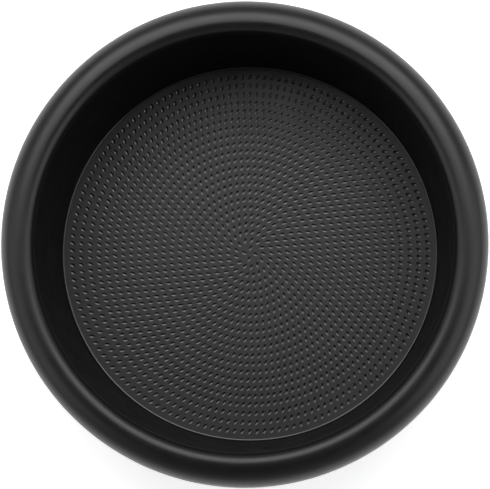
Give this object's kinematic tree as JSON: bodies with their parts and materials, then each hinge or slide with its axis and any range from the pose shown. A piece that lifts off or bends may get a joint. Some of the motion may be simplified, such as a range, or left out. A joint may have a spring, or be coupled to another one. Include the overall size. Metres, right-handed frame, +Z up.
{
  "type": "gold pan",
  "caption": "Deep round prospecting pan in black moulded plastic, with a steep wall, a broad rolled rim and rings of slanted riffle pits over its flat floor.",
  "frame": {"origin": "centre of the foot ring's underside, on the surface that the pan stands on", "axes": "+Z up the pan's axis, from the foot to the rim; every ring of pits starts 3.9 degrees from +X towards +Y"},
  "size_m": [0.26, 0.26, 0.085],
  "materials": {
    "pan": "satin black moulded polypropylene"
  },
  "bodies": {
    "root": {"riffle_field": "pan", "riffle_border": "pan", "floor_corner": "pan", "side_wall": "pan", "rim_shoulder": "pan", "rim_roll": "pan", "rim_skirt": "pan", "foot_ring": "pan"}
  },
  "joints": []
}
